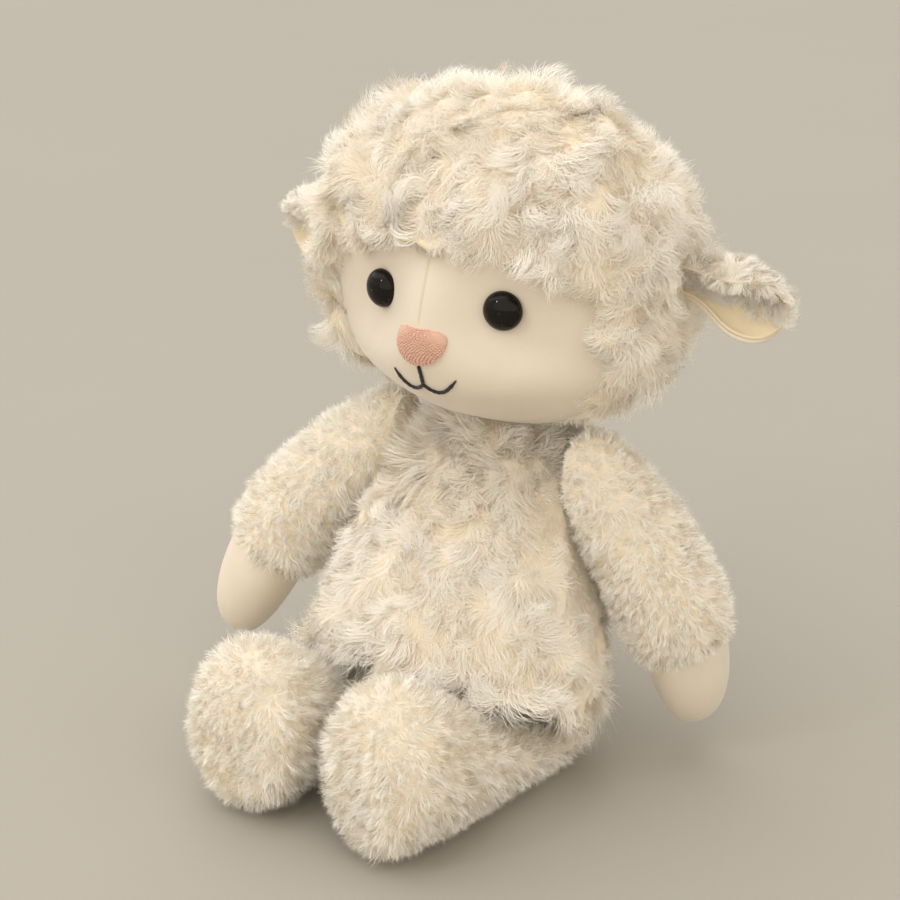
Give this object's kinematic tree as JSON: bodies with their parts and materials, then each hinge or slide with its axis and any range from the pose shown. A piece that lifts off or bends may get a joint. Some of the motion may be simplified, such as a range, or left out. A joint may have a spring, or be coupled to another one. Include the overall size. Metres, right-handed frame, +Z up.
{
  "type": "plush sheep",
  "caption": "Cream plush sheep that sits with its legs out, with a curly woolly cap and body, smooth face and hands, pink nose and black bead eyes.",
  "frame": {"origin": "centre of the flat patch of the seat, on the surface it sits on", "axes": "+Z up, the sheep faces -Y, its left side is at +X"},
  "size_m": [0.183, 0.1518, 0.2115],
  "materials": {
    "wool": "long curly cream pile",
    "fleece": "short cream fleece",
    "smooth_cloth": "smooth short velour",
    "ear_lining": "smooth short velour",
    "fibre": "loose polyester filling",
    "pouch_cloth": "plain woven pouch of pellets",
    "bead": "gloss black",
    "washer": "plain",
    "nose_stitching": "pink satin stitch",
    "mouth_thread": "black embroidery thread"
  },
  "bodies": {
    "torso": {"body_skin": "wool", "body_filling": "fibre", "pellet_pouch": "pouch_cloth", "tail": "wool"},
    "neck": {"neck_filling": "fibre"},
    "head": {"head_cap": "wool", "face_left": "smooth_cloth", "face_right": "smooth_cloth", "head_filling": "fibre", "eye_left": "bead", "eye_right": "bead", "eye_washer_left": "washer", "eye_washer_right": "washer", "nose": "nose_stitching", "mouth": "mouth_thread"},
    "ear_left": {"ear_back_left": "fleece", "ear_lining_left": "ear_lining"},
    "arm_left": {"sleeve_left": "fleece", "hand_left": "smooth_cloth", "arm_filling_left": "fibre"},
    "leg_left": {"leg_left": "fleece", "leg_filling_left": "fibre"},
    "ear_right": {"ear_back_right": "fleece", "ear_lining_right": "ear_lining"},
    "arm_right": {"sleeve_right": "fleece", "hand_right": "smooth_cloth", "arm_filling_right": "fibre"},
    "leg_right": {"leg_right": "fleece", "leg_filling_right": "fibre"}
  },
  "joints": [
    {"name": "head_turn", "type": "hinge", "parent": "torso", "child": "neck", "pos_m": [0, 0.03, 0.094], "axis": [0, 0, 1], "range_deg": [-35, 35], "stiffness_Nm_per_rad": 1},
    {"name": "head_nod", "type": "hinge", "parent": "neck", "child": "head", "pos_m": [0, 0.03, 0.094], "axis": [1, 0, 0], "range_deg": [-12, 12], "stiffness_Nm_per_rad": 3},
    {"name": "ear_flop_left", "type": "hinge", "parent": "head", "child": "ear_left", "pos_m": [0.056, 0.034, 0.159], "axis": [0, 1, 0], "range_deg": [-18, 4], "stiffness_Nm_per_rad": 0.04},
    {"name": "ear_flop_right", "type": "hinge", "parent": "head", "child": "ear_right", "pos_m": [-0.056, 0.034, 0.159], "axis": [0, -1, 0], "range_deg": [-18, 4], "stiffness_Nm_per_rad": 0.04},
    {"name": "arm_swing_left", "type": "hinge", "parent": "torso", "child": "arm_left", "pos_m": [0.038, 0.022, 0.096], "axis": [-1, 0, 0], "range_deg": [-30, 90], "stiffness_Nm_per_rad": 0.12},
    {"name": "arm_swing_right", "type": "hinge", "parent": "torso", "child": "arm_right", "pos_m": [-0.038, 0.022, 0.096], "axis": [-1, 0, 0], "range_deg": [-40, 80], "stiffness_Nm_per_rad": 0.12},
    {"name": "leg_splay_left", "type": "hinge", "parent": "torso", "child": "leg_left", "pos_m": [0.033, 0.008, 0], "axis": [0, 0, 1], "range_deg": [0, 16], "stiffness_Nm_per_rad": 0.3},
    {"name": "leg_splay_right", "type": "hinge", "parent": "torso", "child": "leg_right", "pos_m": [-0.033, 0.008, 0], "axis": [0, 0, -1], "range_deg": [0, 16], "stiffness_Nm_per_rad": 0.3}
  ]
}
